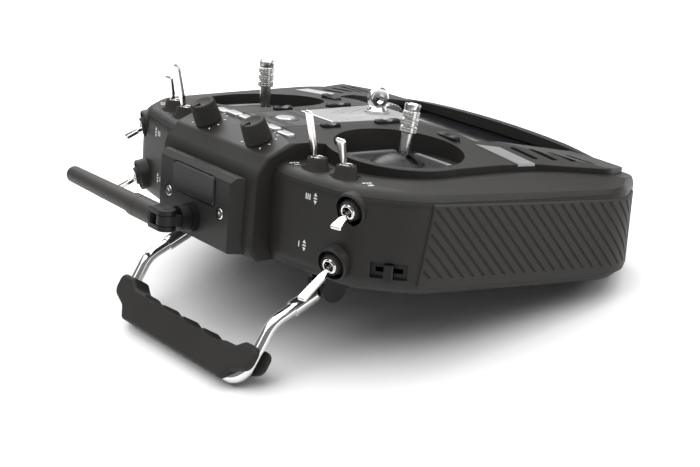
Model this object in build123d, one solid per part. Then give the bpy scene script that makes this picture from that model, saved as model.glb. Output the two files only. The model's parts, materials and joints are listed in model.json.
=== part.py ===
from build123d import *

import os
from math import asin, atan2, cos, degrees, hypot, radians, sin, tan

# Handheld radio transmitter, modelled lying face up in its own face frame and then tilted as one
# piece onto its handle and rear feet. In the face frame X points to the user's right, Y towards
# the antenna edge and Z out of the face; z = 0 is the level of the gimbal centres.

gap = 0.3                      # clearance between parts that move past each other
wall = 2.5                     # wall of the plastic shells

# case outline, right half, from the antenna edge round to the user's edge: x, y, corner radius
outline_half = [
    (58, 64, 40),
    (104, 56, 24),
    (127, 32, 40),
    (137, -30, 200),
    (143.5, -84, 24),
    (116, -117, 20),
    (60, -122, 60),
]
case_top = -7
case_bottom = -58
top_round = 8
bottom_round = 8
parting = [(100, -11), (-70, -12), (-140, -16)]   # y, z of the seam between the two shells

# face plate
ridge_half = 22                # flat middle of the face
ridge_z = 3.6
roof_slope = tan(radians(4.9))
slope_start = (-55, 1.0)       # y, z where the user's end begins to fall away
slope_fall = 0.15
plate_step = 3.0               # how far the plate stands over the shell at the user's end
plate_front = 41               # where the plate meets the central housing

# gimbals
gimbal_x = 63.7
opening_r = 33.5
pivot_z = -23
dome_r = 20
dome_wall = 1.8
carrier_r = dome_r - dome_wall - gap
sleeve_r = 3.05
sleeve_start = 21.1            # distances along the stick, from its pivot
sleeve_top = 31
stick_top = 45.9
knurl_r = 4.1
throttle_lean = 8.5             # rest angle of the left stick towards the user
well_floor_z = -8
housing_bottom = -28
ear_x = 27                     # bearing ears of the yoke
ear_size = 9
pin_bore_r = 2.58

# central housing that stands out of the antenna edge
block_half = 46
block_front = 75.5
block_seam_z = -36
knob_r = 7.2
knob_h = 11.5
knob_x = 24.8
knob_y = 59.5
block_crest = [(50, ridge_z), (67, -4.2)]   # y, z along the slope that carries the knobs

# module cover, antenna
module_w = 78
module_draft = 4               # each side of the cover leans in by this much
module_h = 39
module_z = -36
module_t = 6
panel_z = -27
boss_screw_z = -37
antenna_z = -45
socket_len = 3
base_len = 5.5
antenna_len = 107
antenna_pivot_y = 97

# handle
handle_x = 64
pivot = (39.4, -68.6)          # y, z of the handle's hinge
bend = (70.5, -84.6)
corner = (86.4, -114.0)
rod_r = 3.25
eye_r = 5
pin_r = 2
grip_half = 6.2                # half thickness of the handle grip
grip_reach = 3.0               # how far the grip goes past the rod's centre line
grip_round = 2.2

# toggle switches: foot x, y, z; boss direction; lever length; lever width at the tip. The top
# switches stand in round seats 0.5 deep.
toggle_angle = 13.5            # a lever rests this far to one side of its middle
top_up = (0, 0, 1)
shoulder_out = (0.3, 0.92, -0.26)
toggles = {
    "inner": ((64.6, 50.6, case_top - 0.5), top_up, 30.5, 5.0),
    "outer": ((83.6, 46.6, case_top - 0.5), top_up, 20.0, 7.0),
    "shoulder_short": ((99.9, 51.6, -17.9), shoulder_out, 16.8, 6.4),
    "shoulder_long": ((95.3, 56.8, -45.4), shoulder_out, 29.5, 4.8),
}
nut_r = 4.1
boot_foot_r = 6.6
boot_top_r = 4.9
boot_h = 6.2
boss_r = 8.6
bushing_r = 3.4
bushing_hole_r = 3.6
bushing_bore_r = 2.8

# display pocket
pocket = [(64, -50), (72, -113)]
pocket_depth = 6
glass_w, glass_l = 100, 56
lip_half = 104
lip_rise = 5.5
pocket_end = 113.4

# stance: the face frame is turned about X so that handle and rear feet share one floor
foot_r = 6
foot_h = 4.5
foot_round = 1
foot_x = 100
foot_y = -99


def both(points):
    """The right half's points followed by their mirror image in x, going round."""
    return points + [(-p[0], *p[1:]) for p in reversed(points)]


def outline_face(inset=0.0):
    """The case seen from above, shrunk all round by inset."""
    pts = both(outline_half)
    wire = FilletPolyline(*[p[:2] for p in pts], radius=[p[2] for p in pts], close=True)
    face = make_face(wire)
    return offset(face, -inset) if inset else face


def yz_prism(points, half_length):
    """A closed y, z polygon carried along x, both ways from the middle."""
    face = Plane.YZ * make_face(Polyline(*points, close=True))
    return extrude(face, half_length, both=True)


def roof_z(x, y=0.0):
    """Height of the face plate's surface."""
    side = ridge_z - roof_slope * max(0.0, abs(x) - ridge_half)
    fall = slope_start[1] + slope_fall * (y - slope_start[0])
    return min(side, fall)


def roof(shift=0.0):
    """Everything under the face plate's surface, moved up by shift."""
    far = 170
    edge = ridge_z - roof_slope * (far - ridge_half)
    half = [(ridge_half, ridge_z), (far, edge), (far, -90)]
    across = half + [(-x, z) for x, z in reversed(half)]
    side = Plane.XZ * make_face(Polyline(*across, close=True))
    along = extrude(side, 200, both=True)
    low = slope_start[1] - slope_fall * 100
    high = slope_start[1] + slope_fall * 200
    fall = yz_prism([(-155, -90), (-155, low), (145, high), (145, -90)], far)
    return Pos(0, 0, shift) * (along & fall)


def above_parting():
    ys = [p[0] for p in parting]
    return yz_prism(parting + [(ys[-1], 60), (ys[0], 60)], 200)


def rounded_case(inset=0.0):
    """The case as one solid body with rounded upper and lower edges."""
    height = case_top - case_bottom - 2 * inset
    body = extrude(Pos(0, 0, case_bottom + inset) * outline_face(inset), height)
    body = fillet(body.faces().sort_by(Axis.Z)[-1].edges(), top_round - inset)
    body = fillet(body.faces().sort_by(Axis.Z)[0].edges(), bottom_round - inset)
    return body & roof(-plate_step - inset)


def housing_block(inset=0.0):
    """The central housing: its long section carried across the case."""
    y1 = block_front
    y0 = plate_front
    pts = [(y0, ridge_z), *block_crest, (74.5, -14), (y1, -52), (70, case_bottom), (y0, case_bottom)]
    wire = FilletPolyline(*pts, radius=[1, 30, 5, 12, 5, 1, 1], close=True)
    face = Plane.YZ * make_face(wire)
    if inset:
        face = offset(face, -inset)
    body = extrude(face, block_half - inset, both=True)
    if not inset:
        sides = body.faces().filter_by(Axis.X)
        body = fillet(sides.edges().filter_by(lambda e: e.center().Y > 40), 2.0)
    return body & roof(-inset)


def under_seam():
    """Part of the housing that belongs to the rear shell."""
    return Pos(0, 80, block_seam_z - 50) * Box(200, 60, 100)


def hinge_frame(foot, direction):
    """Frame with Z along a switch's boss and X along its hinge."""
    z = Vector(*direction).normalized()
    x = Vector(0, 0, 1).cross(z)
    x = x.normalized() if x.length > 0.1 else Vector(1, 0, 0)
    return Plane(origin=foot, x_dir=x, z_dir=z)


def well_cut(side, r=opening_r, z0=-40, z1=20):
    return Pos(side * gimbal_x, 0, (z0 + z1) / 2) * Cylinder(r, z1 - z0)


# ---- places of the small controls on the face ----
mode_buttons = [(12.4 * (i - 2.5), 47.6) for i in range(6)]
mode_size = (10.2, 5.4)
trims = {
    "trim_left_horizontal": (-54.4, -39.3, 15, 4.6),
    "trim_right_horizontal": (54.4, -39.3, 15, 4.6),
    "trim_left_vertical": (-22.8, -22, 4.6, 15),
    "trim_right_vertical": (22.8, -22, 4.6, 15),
    "trim_left_aux": (-22.8, 14.6, 4.6, 11),
    "trim_right_aux": (22.8, 14.6, 4.6, 11),
}
keys = {
    "key_system": (-60.5, -60.5),
    "key_model": (-60.5, -77),
    "key_return": (-60.5, -93.5),
    "key_page": (60.5, -60.5),
}
key_size = (10, 8.5)
wheel_at = (61, -86)
wheel_r = 9
wheel_w = 7
power_at = (0, 28)
power_r = 5.2
cap_depth = 7


def key_hole(x, y, w, l, r=1.2, clearance=gap, z0=-25, z1=20):
    """Upright rounded prism used for a key's body and, with clearance, for its hole."""
    face = Pos(x, y, z0) * RectangleRounded(w + 2 * clearance, l + 2 * clearance, r + clearance)
    return extrude(face, z1 - z0)


def face_holes(z0=-25):
    """Holes for every key, trim and button on the face, through plate and shell alike."""
    cuts = [key_hole(x, y, *mode_size, z0=z0) for x, y in mode_buttons]
    cuts += [key_hole(x, y, w, l, z0=z0) for x, y, w, l in trims.values()]
    cuts += [key_hole(x, y, *key_size, z0=z0) for x, y in keys.values()]
    cuts.append(Pos(*power_at, (z0 + 20) / 2) * Cylinder(power_r + gap, 20 - z0))
    cuts.append(Pos(*wheel_at, (z0 + 20) / 2) * Box(wheel_w + 1.2, 2 * wheel_r + 1.6, 20 - z0))
    return cuts


def pocket_prism(extra=0.0):
    (x0, y0), (x1, y1) = pocket
    right = [(x0 + extra, y0 + extra), (x1 + extra, y1 - extra)]
    wire = FilletPolyline(*both(right), radius=5, close=True)
    return extrude(Pos(0, 0, -40) * make_face(wire), 60)


# ---- shells ----
def shell_pair():
    outer = rounded_case()
    block = housing_block()
    inner = rounded_case(wall) + housing_block(wall)
    whole = outer + block
    upper = above_parting()
    keep_clear = Pos(0, 30, -50) * Box(200, 62, 78)      # the lower inside stays the rear shell's
    front = (outer & upper) + (block - under_seam() - keep_clear)
    rear = max((whole - front).solids(), key=lambda s: s.volume)
    front = front - inner
    rear = rear - inner
    for side in (-1, 1):
        front -= well_cut(side)
        rear -= Pos(side * gimbal_x, 0, -30) * Cylinder(opening_r, 40)
    display_end = yz_prism([(-120, -40), (-120, 20), (-46, 20), (-46, -40)], 200)
    front -= pocket_prism(2) & display_end
    for cut in face_holes():
        front -= cut
    front -= module_hole(0)
    rear -= module_hole(0)
    for frame, side in toggle_frames():
        boss = toggle_boss(frame)
        hole = frame * Pos(0, 0, -6) * Cylinder(bushing_hole_r, 40)
        seat = frame * Pos(0, 0, boot_h / 2) * Cylinder(boot_foot_r + 1, boot_h)
        if frame.origin.Z > -10:
            front = front - hole - seat
        else:
            front = front - boss - seat
            rear = (rear + (boss - inner)) - hole - seat
    rear -= battery_opening()
    for x, y in rear_screws:
        rear -= Pos(x, y, case_bottom) * Cylinder(3.4, 5)
    for side in (-1, 1):
        rear -= slider_window(side)
    return front, rear


def module_hole(clearance):
    """Service opening behind the module cover."""
    return Pos(0, block_front, module_z) * Box(60 + clearance, 14, 24 + clearance)


def toggle_frames():
    out = []
    for side in (-1, 1):
        for foot, direction, _, _ in toggles.values():
            spot = (side * foot[0], foot[1], foot[2])
            aim = (side * direction[0], direction[1], direction[2])
            out.append((hinge_frame(spot, aim), side))
    return out


def toggle_boss(frame):
    """Round boss under a shoulder switch, reaching back into the wall, with a bevelled collar."""
    top = 4.6
    boss = Pos(0, 0, top - 6) * Cylinder(boss_r, 12)
    return frame * chamfer(boss.faces().sort_by(Axis.Z)[-1].edges(), 0.6)


# ---- battery, door, feet, screws on the underside ----
battery_w, battery_l, battery_h = 76, 70, 21
battery_y = -42
rear_screws = [(46, 46), (-46, 46), (112, 14), (-112, 14), (70, -104), (-70, -104)]
door_w, door_l = battery_w + 10, battery_l + 12


def battery_opening():
    return Pos(0, battery_y, case_bottom) * Box(door_w, door_l, 8)


def battery_door():
    panel = Pos(0, battery_y, case_bottom - 0.6) * Box(door_w - 2 * gap, door_l - 2 * gap, 3.2)
    panel = chamfer(panel.faces().sort_by(Axis.Z)[0].edges(), 1)
    ribs = [Pos(0, battery_y - 30 + 6 * i, case_bottom - 2.2) * Box(40, 2, 1.2) for i in range(4)]
    return panel - ribs


def battery_pack():
    cell_r = 9.2
    pack = Pos(0, battery_y, case_bottom + 1.2 + cell_r)
    cells = [Pos(x, 0, 0) * Rot(90, 0, 0) * Cylinder(cell_r, battery_l - 6) for x in (-21, 0, 21)]
    strap = Box(battery_w - 10, 12, 6)
    return pack * (strap + cells)


def main_board():
    board = Pos(0, 6, -30) * Box(52, 72, 1.6)
    for x, y, w in [(0, 10, 14), (-16, 24, 7), (14, -14, 9), (-14, -12, 6)]:
        board += Pos(x, y, -28.2) * Box(w, w, 2)
    return board


def rear_foot_solids():
    feet = []
    for side in (-1, 1):
        for y in (foot_y, 12):
            x = foot_x if y < 0 else 0.92 * foot_x
            pad = Pos(side * x, y, case_bottom - foot_h / 2) * Cylinder(foot_r, foot_h)
            pad = fillet(pad.faces().sort_by(Axis.Z)[0].edges(), foot_round)
            feet.append(pad)
    return feet


def screw(r=3.0, h=2.2, slot_r=1.3):
    head = Cylinder(r, h)
    head = fillet(head.faces().sort_by(Axis.Z)[-1].edges(), 0.7)
    return head - Pos(0, 0, h / 2) * extrude(RegularPolygon(slot_r, 6), -1.2)


# ---- plate and its trim ----
def plate_outline():
    """Seen from above: discs round the gimbals and the lower panel, with the arcs left whole."""
    half = [(46, plate_front), (50, 34), (101, 3), (101, -36)]
    half += [(104, -57), (121, -93), (111, -113), (60, -118.5)]
    panel = make_face(Polyline(*both(half), close=True))
    rims = [Pos(s * gimbal_x, 0) * Circle(opening_r + 4.6) for s in (-1, 1)]
    face = panel + rims
    sharp = [v for v in face.vertices() if abs(v.X) > 105 and v.Y < -80]
    return fillet(sharp, 8)


def strip_prism(side, extra=0.0):
    pts = [(68, -46.5), (106, -46.5), (107, -56.5), (75.5, -56.5)]
    pts = [(side * x, y) for x, y in pts]
    face = make_face(Polyline(*pts, close=True))
    if extra:
        face = offset(face, extra, kind=Kind.INTERSECTION)
    return extrude(Pos(0, 0, -30) * face, 60)


def face_plate():
    slab = extrude(Pos(0, 0, -30) * plate_outline(), 60) & roof()
    low = case_top - 4.5
    top_edges = [e for e in slab.edges() if e.center().Z > low and not inside_plate(e.center())]
    slab = fillet(top_edges, 0.5)
    slab = slab - rounded_case() - housing_block()
    for side in (-1, 1):
        slab -= well_cut(side)
        slab -= strip_prism(side, 0.1) - roof(-1.2)
        for i in range(4):
            spot = (side * (87 + 4.2 * i), -63.5 - 9.4 * i)
            slot = extrude(Pos(*spot, -30) * SlotOverall(21, 3.6), 60)
            slab -= slot - roof(-2.0)
    slab -= pocket_prism() - roof(-pocket_depth)
    for cut in face_holes():
        slab -= cut
    slab -= plate_recess(centre_plate_face(0.15))
    slab -= plate_recess(grille_face(0.15))
    return slab + display_lip()


def display_lip():
    """Wall behind the display: highest in the middle, running out at the plate's corners."""
    back = 119
    foot = slope_start[1] - slope_fall * (back + slope_start[0]) - 1.5
    arch = ThreePointArc((-lip_half, foot), (0, foot + lip_rise), (lip_half, foot))
    face = Plane.XZ * make_face(arch + Line((lip_half, foot), (-lip_half, foot)))
    wall_prism = Pos(0, -pocket_end, 0) * extrude(face, 20)
    return wall_prism & extrude(Pos(0, 0, -30) * plate_outline(), 60)


def inside_plate(p):
    """True for the creases of the roof, which lie well inside the plate's edge."""
    return abs(p.X) < 40 and p.Y > -110 or abs(p.Y + 72) < 12 and abs(p.X) < 95


def plate_recess(face):
    return extrude(Pos(0, 0, -30) * face, 60) - roof(-1.2)


def centre_plate_face(extra=0.0):
    pts = [(15, 8), (18.4, -45), (-18.4, -45), (-15, 8)]
    face = make_face(FilletPolyline(*pts, radius=2, close=True))
    return offset(face, extra) if extra else face


def grille_face(extra=0.0):
    pts = [(17, 41), (19.5, 10.5), (-19.5, 10.5), (-17, 41)]
    face = make_face(FilletPolyline(*pts, radius=2, close=True))
    return offset(face, extra) if extra else face


hook_y = -32
hook_bore_r = 2.8
hook_z = ridge_z + 0.6


def centre_plate():
    body = (extrude(Pos(0, 0, -30) * centre_plate_face(), 60) & roof(0.6)) - roof(-1.2)
    return body - Pos(0, hook_y, hook_z) * Cylinder(6.2, 10)


def grille():
    body = (extrude(Pos(0, 0, -30) * grille_face(), 60) & roof(0.3)) - roof(-1.2)
    return body - Pos(*power_at, 0) * Cylinder(power_r + gap, 30)


def lanyard_hook():
    """Stepped round base with a thick ring standing on it."""
    base = Pos(0, hook_y, hook_z - 0.3) * Cylinder(6, 3)
    step = Pos(0, hook_y, hook_z + 2) * Cone(5.2, 4, 2)
    ring = Cylinder(6.4, 4)
    ring = fillet(ring.edges().filter_by(GeomType.CIRCLE), 1.4) - Cylinder(hook_bore_r, 10)
    return base + step + Pos(0, hook_y, hook_z + 7.6) * Rot(0, 90, 0) * ring


def trim_strip(side):
    slab = extrude(Pos(0, 0, -30) * plate_outline(), 60)
    return (strip_prism(side) & slab & roof(0.2)) - roof(-1.1)


def display_glass():
    return tilt_to_slope(-pocket_depth + 1.0, 1.6, glass_w, glass_l)


def tilt_to_slope(rise, thick, w, l, y=-82):
    """A slab parallel to the sloping display surface, rise over it."""
    z = slope_start[1] + slope_fall * (y - slope_start[0])
    lean = degrees(atan2(slope_fall, 1))
    return Pos(0, y, z + rise) * Rot(lean, 0, 0) * Box(w, l, thick)


def display_board():
    return tilt_to_slope(-pocket_depth - 9.5, 1.6, 104, 58, -80)


# ---- side grips ----
grip_zone = [(-102, -53.2), (-102, -14.4), (26, -12.0), (31, -53.2)]   # y, z corners of the rubber


def side_grip(side):
    outer = extrude(Pos(0, 0, -54) * outline_face(-1.4), 54)
    inner = extrude(Pos(0, 0, -60) * outline_face(), 70)
    band = outer - inner
    zone = yz_prism(grip_zone, 200) & Pos(side * 150, 0, 0) * Box(90, 400, 200)
    return band & zone


# ---- sliders on the shoulders ----
slider_spot = (118.5, 43, -46)
slider_out = (0.7, 0.71, 0)
slider_travel = 5
window = (18, 8)


def slider_frame(side):
    out = (side * slider_out[0], slider_out[1], 0)
    along = (-side * slider_out[1], slider_out[0], 0)
    return Plane(origin=(side * slider_spot[0], *slider_spot[1:]), x_dir=along, z_dir=out)


def slider_window(side):
    return slider_frame(side) * Box(*window, 30)


def slider_bezel(side):
    frame = slider_frame(side)
    plate = frame * Pos(0, 0, -4.6) * Box(*window, 1.6)
    slot = frame * Pos(0, 0, -4) * Box(2.4 + 2 * slider_travel + 1, 2.4, 8)
    return plate - slot


def slider(side):
    frame = slider_frame(side)
    cap = frame * Pos(0, 0, -1.2) * Box(4.6, 6.6, 4)
    cap = chamfer(cap.edges().filter_by(Axis.Z), 0.6)
    stem = frame * Pos(0, 0, -5) * Box(2.4, 1.6, 6)
    return cap + stem


# ---- gimbals ----
def gimbal_housing(side):
    """Face disc with a skirt below it, a round hole for the yoke's dome and two bearing ears."""
    height = well_floor_z - housing_bottom
    floor_t = 2.4
    drum = Pos(0, 0, well_floor_z - height / 2) * Cylinder(opening_r - gap, height)
    drum -= Pos(0, 0, well_floor_z - floor_t - height / 2) * Cylinder(opening_r - 2.6, height)
    ear_top = well_floor_z - 1
    ear_h = ear_top - housing_bottom
    drum += [Pos(s * ear_x, 0, ear_top - ear_h / 2) * Box(ear_size, ear_size, ear_h) for s in (-1, 1)]
    drum -= Pos(0, 0, pivot_z) * Sphere(dome_r + 0.35)
    drum -= Pos(0, 0, pivot_z) * Rot(0, 90, 0) * Cylinder(pin_bore_r, 2 * ear_x)
    return Pos(side * gimbal_x, 0, 0) * drum


def yoke(lean):
    shell = Sphere(dome_r) - Sphere(dome_r - dome_wall)
    shell &= Pos(0, 0, 10) * Box(60, 60, 30)
    slot = Pos(0, 0, 12) * Box(2 * dome_r * sin(radians(33)), 5.8, 24)
    shell -= slot
    pins = [Pos(s * 22.4, 0, 0) * Rot(0, 90, 0) * Cylinder(2.5, 8) for s in (-1, 1)]
    shell = shell + pins
    shell -= Rot(90, 0, 0) * Cylinder(2.08, 60)
    return Rot(lean, 0, 0) * shell


def stick(lean):
    strap = Sphere(carrier_r) - Sphere(carrier_r - 1.6)
    strap &= Pos(0, 0, 13) * Box(60, 9.5, 14)
    core = Pos(0, 0, sleeve_start / 2) * Cylinder(2.3, sleeve_start)
    core += Rot(90, 0, 0) * Cylinder(2.0, 2 * (dome_r - 0.4))
    sleeve = Pos(0, 0, (sleeve_start + sleeve_top) / 2) * Cylinder(sleeve_r, sleeve_top - sleeve_start)
    grip_len = stick_top - sleeve_top
    grip = Pos(0, 0, sleeve_top + grip_len / 2) * Cylinder(knurl_r, grip_len)
    grip = chamfer(grip.edges().filter_by(GeomType.CIRCLE), 0.6)
    for i in (1, 2):
        ring = Cylinder(knurl_r + 1, 0.7) - Cylinder(knurl_r - 0.5, 0.7)
        grip -= Pos(0, 0, sleeve_top + 4.6 * i) * ring
    top = Pos(0, 0, stick_top)
    grip -= top * Cone(1.0, 2.6, 3)
    for turn in (0, 90):
        grip -= top * Rot(0, 0, turn) * Box(12, 1.6, 3)
    return Rot(lean, 0, 0) * (strap + core + sleeve + grip)


# ---- knobs, keys, buttons ----
def knob(side):
    frame = knob_frame(side)
    body = Pos(0, 0, gap + knob_h / 2) * Cone(knob_r, knob_r * 0.9, knob_h)
    body = fillet(body.faces().sort_by(Axis.Z)[-1].edges(), 1.2)
    for i in range(18):
        groove = Rot(0, 0, 20 * i) * Pos(knob_r + 0.25, 0, knob_h / 2) * Cylinder(0.65, knob_h + 2)
        body -= groove
    body -= Pos(0, 5, gap + knob_h) * Box(1.1, 6, 1.2)
    return frame * body


def knob_frame(side):
    (y0, z0), (y1, z1) = block_crest
    slope = (z1 - z0) / (y1 - y0)
    return Pos(side * knob_x, knob_y, z0 + slope * (knob_y - y0)) * Rot(degrees(atan2(slope, 1)), 0, 0)


def cap(x, y, w, l, rise, crown=0.6):
    """A key: a rounded prism standing rise above the surface beneath it."""
    top = roof_z(x, y) + rise
    body = key_hole(x, y, w, l, clearance=0, z0=top - cap_depth, z1=top)
    return chamfer(body.faces().sort_by(Axis.Z)[-1].edges(), crown)


def pocket_key(x, y):
    top = roof_z(x, y) - pocket_depth + 2.2
    body = key_hole(x, y, *key_size, r=3, clearance=0, z0=top - cap_depth, z1=top)
    return fillet(body.faces().sort_by(Axis.Z)[-1].edges(), 0.8)


def trim_rocker(x, y, w, l):
    """A rocker: two raised ends with a dip between them."""
    body = cap(x, y, w, l, 1.9, 0.7)
    top = roof_z(x, y) + 1.9
    turn = 90 if l > w else 0
    return body - Pos(x, y, top + 3.2) * Rot(0, 0, turn) * Rot(90, 0, 0) * Cylinder(4.2, 20)


def power_button():
    top = ridge_z + 1.2
    body = Pos(*power_at, top - cap_depth / 2) * Cylinder(power_r, cap_depth)
    return fillet(body.faces().sort_by(Axis.Z)[-1].edges(), 0.8)


def scroll_wheel():
    x, y = wheel_at
    z = roof_z(x, y) - pocket_depth - 4.5
    body = Pos(x, y, z) * Rot(0, 90, 0) * Cylinder(wheel_r, wheel_w)
    for i in range(24):
        spot = Pos(x, y, z) * Rot(15 * i, 0, 0) * Pos(0, 0, wheel_r)
        body -= spot * Rot(0, 90, 0) * Cylinder(0.5, wheel_w + 1)
    return body


# ---- toggle switches ----
def toggle_mount(frame):
    """Nut sunk in the boot's mouth, and the bushing that goes down through the case."""
    nut = Pos(0, 0, boot_h - 1.6) * extrude(RegularPolygon(nut_r, 6, major_radius=True), 1.2)
    collar = Pos(0, 0, boot_h - 0.2) * Cylinder(bushing_r - 0.2, 1.2)
    depth = 7
    bushing = Pos(0, 0, (boot_h - depth) / 2) * Cylinder(bushing_r, boot_h + depth)
    return frame * ((nut + collar + bushing) - Cylinder(bushing_bore_r, 40))


def toggle_boot(frame):
    """Rubber cone round the bushing, open at the top."""
    cone = Pos(0, 0, boot_h / 2) * Cone(boot_foot_r, boot_top_r, boot_h)
    cone = fillet(cone.faces().sort_by(Axis.Z)[-1].edges(), 0.4)
    cone -= Pos(0, 0, boot_h) * Cylinder(nut_r + 0.2, 3.4)
    return frame * (cone - Cylinder(bushing_r, 40))


def lever(frame, length, tip_w):
    """Flat paddle lever on a round neck, resting to one side: a top lever towards the antenna
    edge, a shoulder lever low."""
    start = boot_h + 2.2
    neck = Pos(0, 0, start / 2) * Cylinder(1.1, start + 1)
    ball = Sphere(2.2)
    lower = Pos(0, 0, start) * Rectangle(3.2, 2.8)
    upper = Pos(0, 0, length) * Rectangle(tip_w, 2.2)
    paddle = loft([Sketch() + lower, Sketch() + upper])
    paddle = fillet(paddle.faces().sort_by(Axis.Z)[-1].edges(), 0.7)
    rest = -toggle_angle if frame.z_dir.Z > 0.5 else toggle_angle
    return frame * Rot(rest, 0, 0) * (neck + ball + paddle)


# ---- antenna ----
def antenna_socket():
    y0 = block_front + module_t + 0.1
    return Pos(0, y0 + socket_len / 2, antenna_z) * Rot(90, 0, 0) * Cylinder(7.6, socket_len)


def antenna_base():
    y0 = block_front + module_t + 0.1 + socket_len + gap
    drum = Pos(0, y0 + base_len / 2, antenna_z) * Rot(90, 0, 0) * Cylinder(6.6, base_len)
    reach = antenna_pivot_y - y0 - base_len
    tongue = Pos(0, antenna_pivot_y - reach / 2, antenna_z) * Box(10, reach, 5)
    eye = Pos(0, antenna_pivot_y, antenna_z) * Cylinder(5, 5)
    return drum + tongue + eye - Pos(0, antenna_pivot_y, antenna_z) * Cylinder(1.6, 20)


def antenna_mast():
    cheek = Cylinder(5.6, 2.8) + Pos(6, 0, 0) * Box(12, 11.2, 2.8)
    body = Pos(0, 0, 4.25) * cheek + Pos(0, 0, -4.25) * cheek
    root = Pos(14.5, 0, 0) * Rot(0, 90, 0) * Cylinder(6.6, 13)
    body = (body & (Rot(0, 90, 0) * Cylinder(6.6, 60))) + (root - Pos(8.6, 0, 0) * Box(5, 20, 5.8))
    whip = Pos(21 + (antenna_len - 21) / 2, 0, 0) * Rot(0, 90, 0) * Cone(6.2, 4.6, antenna_len - 21)
    whip = fillet(whip.faces().sort_by(Axis.X)[-1].edges(), 2)
    body = body + whip + Cylinder(1.55, 11.2)
    return Pos(0, antenna_pivot_y, antenna_z) * body


# ---- module cover ----
def module_cover():
    y1 = block_front + module_t
    wide, narrow = module_w / 2, module_w / 2 - module_draft
    outline = Polyline((wide, y1 - 8), (narrow, y1), (-narrow, y1), (-wide, y1 - 8), close=True)
    body = extrude(Pos(0, 0, module_z - module_h / 2) * make_face(outline), module_h)
    body = chamfer(body.faces().sort_by(Axis.Y)[-1].edges().sort_by(Axis.Z)[-1], 3)
    body = chamfer(body.faces().sort_by(Axis.Y)[-1].edges(), 0.4)
    body -= housing_block()
    panel = Plane.XZ * Pos(0, panel_z) * RectangleRounded(43, 16, 3)
    body -= Pos(0, block_front + module_t, 0) * extrude(panel, 1)
    for side in (-1, 1):
        body -= Pos(side * 26, block_front + module_t, boss_screw_z) * Rot(90, 0, 0) * Cylinder(3.4, 4.4)
    return body


def module_panel():
    panel = Plane.XZ * Pos(0, panel_z) * RectangleRounded(42, 15, 2.6)
    body = Pos(0, block_front + module_t + 0.8, 0) * extrude(panel, 1.7)
    return chamfer(body.faces().sort_by(Axis.Y)[-1].edges(), 0.6)


def case_screws():
    y = block_front + module_t - 1.1
    front = [Pos(s * 26, y, boss_screw_z) * Rot(-90, 0, 0) * screw() for s in (-1, 1)]
    under = [Pos(x, y, case_bottom + 1.4) * Rot(180, 0, 0) * screw() for x, y in rear_screws]
    return front + under


# ---- handle ----
def rod_path():
    half = [(handle_x, *pivot), (handle_x, *bend), (handle_x, *corner)]
    pts = half + [(-x, y, z) for x, y, z in reversed(half)]
    return FilletPolyline(*pts, radius=[16, 13, 13, 16])


def handle_rod():
    arm = hypot(bend[0] - pivot[0], bend[1] - pivot[1])
    fall = degrees(atan2(bend[1] - pivot[1], bend[0] - pivot[0]))
    path = rod_path()
    body = sweep(Plane(path @ 0, z_dir=path % 0) * Circle(rod_r), path)
    for s in (-1, 1):
        hub = Pos(s * handle_x, *pivot) * Rot(fall, 0, 0)
        eye = hub * Rot(0, 90, 0) * Cylinder(eye_r, 8)
        ferrule = hub * Pos(0, 15, 0) * Rot(90, 0, 0) * Cylinder(4.2, 14)
        body = body + eye + ferrule
    return body - Pos(0, *pivot) * Rot(0, 90, 0) * Cylinder(pin_r + 0.06, 200)


def handle_plane():
    """Plane of the handle's outer part: X across the case, Y along the arm from the bend."""
    along = Vector(0, corner[0] - bend[0], corner[1] - bend[1]).normalized()
    return Plane(origin=(0, *bend), x_dir=(1, 0, 0), z_dir=Vector(1, 0, 0).cross(along))


def handle_grip():
    reach = hypot(corner[0] - bend[0], corner[1] - bend[1])
    inner, outer, ends = reach - 15, reach + grip_reach, reach - 19.5
    half = [(52, outer), (57, reach - 3), (70.5, reach - 8), (70.5, ends), (58, ends), (51, inner)]
    radii = [3, 4, 6, 4, 3, 8]
    wire = FilletPolyline(*both(half), radius=radii + radii[::-1], close=True)
    body = extrude(handle_plane() * make_face(wire), grip_half, both=True)
    depth = handle_plane().to_local_coords
    rims = body.edges().filter_by(lambda e: abs(depth(e.center()).Z) > grip_half - 0.1)
    body = fillet(rims, grip_round)
    for i in range(4):
        spot = handle_plane() * Pos((i - 1.5) * 21, inner - 21.5, 0)
        body -= spot * Cylinder(24, 20)
    body -= handle_plane() * Pos(0, reach + 10, 0) * Box(200, 20, 2 * rod_r)
    for s in (-1, 1):
        body -= handle_plane() * Pos(s * (handle_x + 10), reach - 10, 0) * Box(20, 30, 2 * rod_r)
    return body - handle_rod()


def handle_brackets():
    solids = []
    for s in (-1, 1):
        hub = Pos(s * handle_x, *pivot)
        block = Rot(0, 90, 0) * Cylinder(7, 14.6)
        neck = Pos(0, -1.5, 5.2) * Box(14.6, 15, 10.8)
        room = Box(8.7, 60, 12.2) + Rot(0, 90, 0) * Cylinder(6, 8.7)
        room += Pos(0, 0, -5) * Box(8.7, 16, 10)
        body = (block + neck) - room
        body += Rot(0, 90, 0) * Cylinder(pin_r, 14.6)
        solids.append((hub * body) - rounded_case())
    return solids


# ---- stance ----
def stance():
    """Turn and lift that put the handle's grip and the rear feet on z = 0."""
    arm = Vector(0, corner[0] - bend[0], corner[1] - bend[1]).normalized()
    face = Vector(0, -arm.Z, arm.Y)
    rim = Vector(0, *corner) + arm * (grip_reach - grip_round) - face * (grip_half - grip_round)
    foot = Vector(0, foot_y - foot_r + foot_round, case_bottom - foot_h + foot_round)
    span = rim - foot
    lean = asin((grip_round - foot_round) / span.length) - atan2(span.Z, span.Y)
    drop = foot.Y * sin(lean) + foot.Z * cos(lean) - foot_round
    return Pos(0, 0, -drop) * Rot(degrees(lean), 0, 0)


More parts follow.
